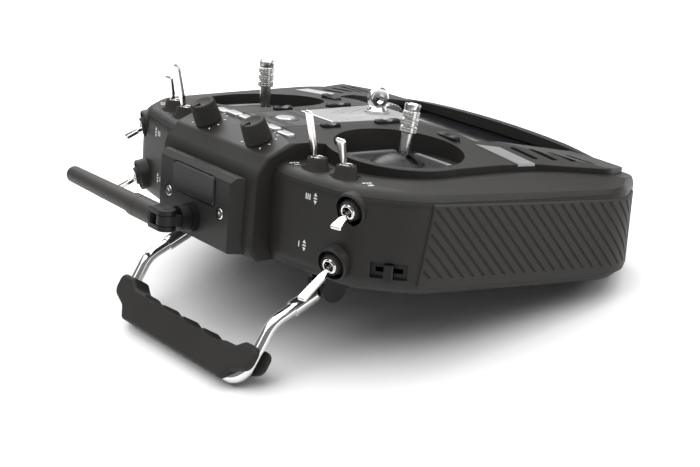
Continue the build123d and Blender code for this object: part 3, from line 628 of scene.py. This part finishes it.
# A flat blade: widths and thicknesses run from the neck to the tip, read from the CAD lever.
def leverPiece(name):
    foot, _, axes, points = toggleFrame(name)
    local = (points - foot) @ axes.T
    length = local[:, 2].max()
    atTip = local[local[:, 2] > length - 0.0025]
    w, t = np.abs(atTip[:, 0]).max(), np.abs(atTip[:, 1]).max()
    look = switchLook
    start = look["bladeFrom"]
    neck = look["neckR"]
    stations = [(0.0, neck, neck, 0), (start - 0.0008, neck, neck, 0)]
    for share in np.linspace(0, 1, 14):
        ease = min(1.0, share * 7)
        width = neck + (look["bladeHalf"] - neck) * ease + (w - look["bladeHalf"]) * share ** 1.15
        thick = neck + (t * 0.95 - neck) * ease
        stations.append((start + (length - 0.0007 - start) * share, width, thick * (1 - 0.12 * share), 0))
    width, thick = stations[-1][1], stations[-1][2]
    stations.append((length - 0.0003, width - 0.0001, thick - 0.0001, 0))
    stations.append((length, width - 0.0005, thick - 0.0004, 0))
    grids = [blade(stations, foot, axes, squareness=7)]
    return piece(f"leverBlade_{name}", grids, f"lever_{name}", "lever_chrome", [f"lever_{name}"], crease=30)


# Cone boot with a hollow flank, whose radius falls by the height's share to the power flankPower, and the
# threaded ring in its mouth.
def bootAndNut(name):
    look = switchLook
    foot, axes, _, _ = toggleFrame(name)
    s = np.linspace(0, 1, 12)
    bootH, topR, footR, mouthR = look["bootH"], look["topR"], look["footR"], look["mouthR"]
    flank = [(footR + (topR - footR) * k ** look["flankPower"], (bootH - 0.0004) * k) for k in s]
    mouth, wall, skirt = bootH - 0.0016, look["bootWall"], -look["skirtDepth"]
    lip = [(topR - 0.0002, bootH), (mouthR + 0.0002, bootH), (mouthR, bootH - 0.0003), (mouthR, mouth),
           (wall, mouth), (wall, skirt), (footR, skirt)]
    boot = np.array(flank + lip + flank[:1])
    top, ringR, boreR, seat = look["ringTop"], look["ringR"], look["boreR"], look["ringSeat"]
    ring = [(ringR, mouth - 0.001), (ringR, top - 0.0011), (ringR - 0.0003, top - 0.0008),
            (seat, top - 0.0008), (seat, top - 0.0001), (seat - 0.0002, top),
            (boreR + 0.0002, top), (boreR, top - 0.0002)]
    for k in range(7):   # the thread, as a saw edge down the bore
        ring.append((boreR + (0.00012 if k % 2 else 0), top - 0.0008 - look["threadPitch"] * k))
    deep = -look["ringDeep"]
    ring += [(boreR, deep), (seat, deep), (seat, mouth - 0.001), (ringR, mouth - 0.001)]
    return lathe(boot, foot, axes), lathe(ring, foot, axes)


switchKinds = ("inner", "outer", "shoulder_short", "shoulder_long")
switchNames = [f"{word}_{kind}" for word in ("left", "right") for kind in switchKinds]
bootGrids, ringGrids = zip(*[bootAndNut(name) for name in switchNames])
piece("switchCones", list(bootGrids), "case", "soft_rubber", ["switch_boots"], crease=40)
piece("switchRings", list(ringGrids), "case", "chrome", ["switch_nuts"], crease=30)
for name in switchNames:
    leverPiece(name)
print("switches done")


# A thin dark line round the case. Above the middle of the rounded edge the line moves in, by the edge's
# radius less the level side of the triangle that the radius and the rise make.
def seamLine(lineR=0.00028):
    path = casePath
    ys, zs = np.array(caseShape["seamHeights"]).T
    z = np.interp(path[:, 1], ys, zs)
    along = np.roll(path, -1, 0) - np.roll(path, 1, 0)
    along /= np.linalg.norm(along, axis=1, keepdims=True)
    out = np.column_stack([along[:, 1], -along[:, 0]])
    out *= np.sign(((path - path.mean(0)) * out).sum(1, keepdims=True))
    rise = np.maximum(z - caseShape["roundZ"], 0)
    level = np.sqrt(caseShape["roundR"] ** 2 - rise ** 2)
    place = np.column_stack([path - out * (caseShape["roundR"] - level)[:, None], z])
    normal = np.column_stack([out * level[:, None], rise]) / caseShape["roundR"]
    other = np.cross(np.column_stack([along, np.zeros(len(along))]), normal)
    a = np.arange(8) * np.pi / 4
    ring = normal[:, None] * 0.5 * np.cos(a)[None, :, None] + other[:, None] * np.sin(a)[None, :, None]
    ring = place[:, None] + lineR * ring
    return piece("seamLine", [fromFace(np.concatenate([ring, ring[:1]]))], "case", "hard_plastic")


seamLine()
print("seam done")


# One search tree over the outer plastic, in the row frame.
def shellTree():
    points, triangles, start = [], [], 0
    for node in ("front_shell", "rear_shell", "face_plate"):
        mesh = frame["nodes"][node].data
        points += [v.co.copy() for v in mesh.vertices]
        triangles += [tuple(start + i for i in polygon.vertices) for polygon in mesh.polygons]
        start = len(points)
    return BVHTree.FromPolygons(points, triangles)


outerSkin = shellTree()
markLook = {"proud": 0.00008, "thick": 0.00006, "size": 0.0022, "from": 0.02}


# A polygon given in the plane that faces the look direction, dropped on the skin: each corner goes where
# its ray lands.
def mark(shape, spot, look, upward):
    axes = axesAlong(-np.array(look, float), np.cross(upward, -np.array(look, float)))
    rings = []
    for above in (markLook["thick"] * -1, markLook["proud"]):
        ring = []
        for x, y in shape:
            start = fromFace(np.array(spot) + x * axes[0] + y * axes[1] + markLook["from"] * axes[2])
            hit, _, _, _ = outerSkin.ray_cast(Vector(start), Vector(turn @ -axes[2]))
            if hit is None:
                return []
            ring.append(np.array(hit) + above * (turn @ axes[2]))
        rings.append(ring)
    return [capped(np.array(rings))]


# A triangle that stands on a level line and points up, or down where flip is minus one.
def triangle(size, height, flip=1):
    return [(-size / 2, height), (size / 2, height), (0, height + flip * size * 0.8)]


# An upright rectangle about its middle.
def bar(width, thick, x, y):
    w, t = width / 2, thick / 2
    return [(x - w, y - t), (x + w, y - t), (x + w, y + t), (x - w, y + t)]


# By each switch: two triangles that point along its throw, and one, two or three strokes that number it.
# Round each knob: scale ticks on an arc.
def switchMarks():
    grids = []
    size = markLook["size"]
    top, out = (0, 0, -1), (-0.25, -0.95, 0.1)
    spots = [((0.0505, 0.0545, 0), top, (0.2, 1, 0), 1), ((0.0985, 0.0445, 0), top, (0.2, 1, 0), 2),
             ((0.083, 0.075, -0.0195), out, (0, 0, 1), 3), ((0.078, 0.078, -0.0445), out, (0, 0, 1), 1)]
    for side in (-1, 1):
        for spot, look, up, strokes in spots:
            where = (side * spot[0], spot[1], spot[2])
            aim = (side * look[0], look[1], look[2])
            arrows = (triangle(size, size * 0.5), triangle(size, -size * 0.5, -1))
            for shape in arrows + (bar(size, size * 0.32, 0, 0),):
                grids += mark(shape, where, aim, up)
            for k in range(strokes):
                stroke = bar(size * 0.28, size * 1.3, side * (size * 1.7 + k * size * 0.6), 0)
                grids += mark(stroke, where, aim, up)
    for side in (-1, 1):   # scale ticks round each knob
        for swing in np.radians(np.arange(-120, 121, 30)):
            spot = (side * 0.0248 + 0.0097 * math.sin(swing), 0.0595 - 0.0092 * math.cos(swing), 0)
            grids += mark(bar(0.0005, 0.0014, 0, 0), spot, (0, 0, -1), (math.sin(swing), -math.cos(swing), 0))
    white = Finish("markPaint", Specular_IOR_Level=0.3)
    wear = white.noise(260, 3.0)
    white.link(Base_Color=white.between(wear, grey(0.62), grey(0.80)), Roughness=0.5 + wear * 0.1)
    return piece("switchMarks", grids, "case", "silver_plate", finish=white.material)


switchMarks()
print("marks done")


# Grille and centre plate: height fields over the slope of the plate.
plateLook = {
    "columns": 190, "rows": 150, "rimDrop": 0.0005, "rimWide": 0.0006, "under": 0.0002, "endBand": 0.0025,
}


# A grid over the CAD piece's trapezium. Its height is the CAD top less the carving, and its rim rolls
# down by a quarter round.
def plateField(name, node, slot, carve):
    points = toFace(nodePoints(node))
    low, high = points.min(0), points.max(0)
    look = plateLook
    ends = [np.abs(points[:, 1] - y) < look["endBand"] for y in (low[1], high[1])]
    halfLow, halfHigh = [np.abs(points[end][:, 0]).max() for end in ends]
    v = np.linspace(0, 1, look["rows"])[:, None]
    u = np.linspace(-1, 1, look["columns"])[None, :]
    half = halfLow + (halfHigh - halfLow) * v
    y = low[1] + (high[1] - low[1]) * v + 0 * u
    x = half * u
    edge = np.minimum.reduce([(1 - np.abs(u)) * half, y - low[1], high[1] - y])
    inward = np.clip(edge / look["rimWide"], 0, 1)
    roll = look["rimDrop"] * (1 - np.sqrt(np.clip(1 - (1 - inward) ** 2, 0, 1)))
    top = high[2] - roll - carve(x, y)
    under = np.full_like(top, low[2] + look["under"])
    upper = np.stack([x + 0 * y, y, top], -1)
    lower = np.stack([x + 0 * y, y, under], -1)[:, ::-1][:, [0, -1]]
    return piece(name, [fromFace(np.concatenate([upper, lower], 1))], "case", slot, [node], crease=50)


# Signed distance to a rounded bar of that half length, its axis turned by lean.
def capsule(x, y, cx, cy, half, radius, lean=0.0):
    c, d = math.cos(lean), math.sin(lean)
    along = (x - cx) * c + (y - cy) * d
    across = -(x - cx) * d + (y - cy) * c
    return np.sqrt((np.abs(along) - half).clip(0) ** 2 + across ** 2) - radius


grilleLook = {
    "columns": range(-7, 8), "pitch": 0.0022, "rows": (0.0155, 0.0350), "slotHalf": 0.0024, "slotR": 0.00045,
    "slant": 68, "depth": 0.0008, "edge": 0.00025,
    "ringY": 0.028, "ringR": 0.0075, "ringHalf": 0.0004, "ringDepth": 0.0005,
}


# Rows of slanted slots either side of the power button, and a ring round it.
def grilleCarve(x, y):
    look = grilleLook
    slant, edge = math.radians(look["slant"]), look["edge"]
    depth = np.zeros(np.broadcast(x, y).shape)
    for column in look["columns"]:
        for row in look["rows"]:
            d = capsule(x, y, column * look["pitch"], row, look["slotHalf"], look["slotR"], slant)
            depth = np.maximum(depth, look["depth"] * np.clip(0.5 - d / edge, 0, 1))
    ring = np.abs(np.hypot(x, y - look["ringY"]) - look["ringR"]) - look["ringHalf"]
    return np.maximum(depth, look["ringDepth"] * np.clip(0.5 - ring / edge, 0, 1))


centreLook = {
    "grooves": 3, "firstY": 0.002, "pitch": 0.0065, "slope": 0.55, "gapHalf": 0.002,
    "grooveHalf": 0.00022, "grooveDepth": 0.0004, "grooveEdge": 0.0002,
    "hookY": -0.032, "dishR": 0.0068, "dishEdge": 0.0004, "dishDepth": 0.0012,
}


# Two fans of diagonal grooves that cross the plate, and a dish round the hook.
def centreCarve(x, y):
    look = centreLook
    groove = np.zeros(np.broadcast(x, y).shape)
    for side in (-1, 1):
        for k in range(look["grooves"]):
            along = y - look["firstY"] + look["pitch"] * k
            d = np.abs(x * side + along * look["slope"]) - look["grooveHalf"]
            cut = np.clip(0.5 - d / look["grooveEdge"], 0, 1) * (x * side > look["gapHalf"])
            groove = np.maximum(groove, look["grooveDepth"] * cut)
    dish = np.clip((look["dishR"] - np.hypot(x, y - look["hookY"])) / look["dishEdge"], 0, 1)
    return np.maximum(groove, look["dishDepth"] * dish)


plateField("grillePlate", "speaker_grille", "grille_plastic", grilleCarve)
plateField("badgePlate", "centre_plate", "silver_plate", centreCarve)
print("plates done")


# Silver frames on the floor of each stick well.
wellFrame = {
    "across": 0.0222, "beside": 0.0242, "barHalf": 0.0015, "acrossHalf": 0.014, "besideHalf": 0.016,
    "rise": 0.0007, "sunk": 0.0003, "edge": 0.0003,
}


# Four flat bars, as the sides of a square round each stick, bevelled, on the well floor.
def wellFrames():
    floorZ = faceBox("gimbal_housings")[1][2]
    look = wellFrame
    grids = []
    for side in (-1, 1):
        centre = side * abs(toFace(pivotLeft)[0])
        level = [(0, end * look["across"], look["acrossHalf"], look["barHalf"]) for end in (1, -1)]
        upright = [(end * side * look["beside"], 0, look["barHalf"], look["besideHalf"]) for end in (-1, 1)]
        for cx, cy, hx, hy in level + upright:
            corners = [(centre + cx + a * hx, cy + b * hy) for a, b in ((-1, -1), (1, -1), (1, 1), (-1, 1))]
            grids.append(fromFace(slab(corners, floorZ - look["sunk"], floorZ + look["rise"], look["edge"])))
    return piece("wellFrames", grids, "case", "silver_trim", crease=30)


wellFrames()
print("well frames done")


# Display bezel: the floor of the pocket round the glass.
bezelLook = {
    "corners": [(0.0637, -0.0506), (0.0714, -0.1127)],   # right-hand corners of the pocket
    "under": 0.0009, "thick": 0.0007, "rib": 0.0009, "ribWide": 0.0012, "room": 0.0004,
}


# A plate parallel to the glass with a raised rim round it. Both follow the slope that is fitted to the
# glass's corners.
def displayBezel():
    look = bezelLook
    points = toFace(nodePoints("display_glass"))
    b, a = np.polyfit(points[:, 1], points[:, 2], 1)
    low, high = points.min(0), points.max(0)
    (x0, y0), (x1, y1) = look["corners"]

    def sheet(corners, top, bottom):
        rings = [[(x, y, a + b * y - drop) for x, y in corners] for drop in (bottom, top)]
        return capped(fromFace(np.array(rings)))

    grids = [sheet([(-x0, y0), (-x1, y1), (x1, y1), (x0, y0)], look["under"], look["under"] + look["thick"])]
    e, w = look["room"], look["ribWide"]
    outer = (low[0] - e - w, high[0] + e + w, low[1] - e - w, high[1] + e + w)
    inner = (low[0] - e, high[0] + e, low[1] - e, high[1] + e)
    for box in ((outer[0], inner[0], outer[2], outer[3]), (inner[1], outer[1], outer[2], outer[3]),
                (inner[0], inner[1], outer[2], inner[2]), (inner[0], inner[1], inner[3], outer[3])):
        corners = [(box[0], box[2]), (box[1], box[2]), (box[1], box[3]), (box[0], box[3])]
        grids.append(sheet(corners, -look["rib"], look["under"]))
    return piece("displayBezel", grids, "case", "hard_plastic", crease=30)


displayBezel()
print("display bezel done")


# Antenna mast.
mastLook = {
    "sleeveR": 0.0062, "sleeveTo": 0.034, "bandAt": 0.026, "bandHalf": 0.0003,
    "whipR": 0.0053, "tipR": 0.0047, "tipLength": 0.0030, "tipRise": 0.0028, "domePower": 0.6,
    "forkFrom": 0.0075, "forkGap": 0.0029, "forkHalf": 0.0056,
    "knuckleR": 0.0052, "knuckleEdge": 0.0004, "knuckleShrink": 0.94, "pinR": 0.0015, "pinHalf": 0.0058,
}


# Two round knuckles about the hinge, and a whip: a lathe with a thicker sleeve, a band line and a domed
# tip.
def antennaMast():
    look = mastLook
    joint = joints["antenna_fold"]
    hinge = np.array(joint["pos_m"])
    points = nodePoints("antenna_mast")
    distance = np.linalg.norm(points - hinge, axis=1)
    length = distance.max()
    tip = points[distance > length - 0.002].mean(0)
    axes = axesAlong(tip - hinge, joint["axis"])
    r, to, band, half = look["sleeveR"], look["sleeveTo"], look["bandAt"], look["bandHalf"]
    start, quarter = look["forkFrom"], np.linspace(0, np.pi / 2, 8)
    domeR = look["tipR"] * np.cos(quarter).clip(0) ** look["domePower"]
    domeZ = length - look["tipLength"] + look["tipRise"] * np.sin(quarter)
    profile = [(0, start), (r - 0.0008, start), (r, start + 0.0008), (r, band - half), (r - half, band),
               (r, band + half), (r, to - 0.0006), (r - 0.0005, to), (look["whipR"], to + 0.0003)]
    profile += list(zip(domeR, domeZ))
    whip = lathe(profile, hinge, axes, 72)
    knuckles = []
    for sign in (-1, 1):
        angle = np.linspace(np.pi / 2, 3 * np.pi / 2, 20)
        knuckleR, shoulder = look["knuckleR"], start + 0.002
        outline = [(knuckleR * math.sin(a), knuckleR * math.cos(a)) for a in angle]
        outline += [(-knuckleR, shoulder), (knuckleR, shoulder)]
        inner, outer = look["forkGap"] * sign, look["forkHalf"] * sign
        levels = (inner, outer - look["knuckleEdge"] * sign, outer)
        rings = np.array([[(x, y, z) for y, z in outline] for x in levels])
        rings[2, :, 1:] *= look["knuckleShrink"]
        knuckles.append(capped(placed(rings, hinge, axes)))
    pinHalf, pinR = look["pinHalf"], look["pinR"]
    pin = np.array([(0, -pinHalf), (pinR, -pinHalf), (pinR, pinHalf), (0, pinHalf)])
    pinAxes = axesAlong(joint["axis"], axes[2])
    mast = grained("mastRubber", dict(plasticLooks["soft_rubber"], dark=0.030, light=0.040, roughness=0.52))
    node = "antenna_mast"
    piece("antennaFork", knuckles + [lathe(pin, hinge, pinAxes, 32)], node, "hard_plastic", crease=30)
    return piece("antennaWhip", [whip], node, "hard_plastic", [node], finish=mast, crease=30)


antennaMast()
print("antenna done")
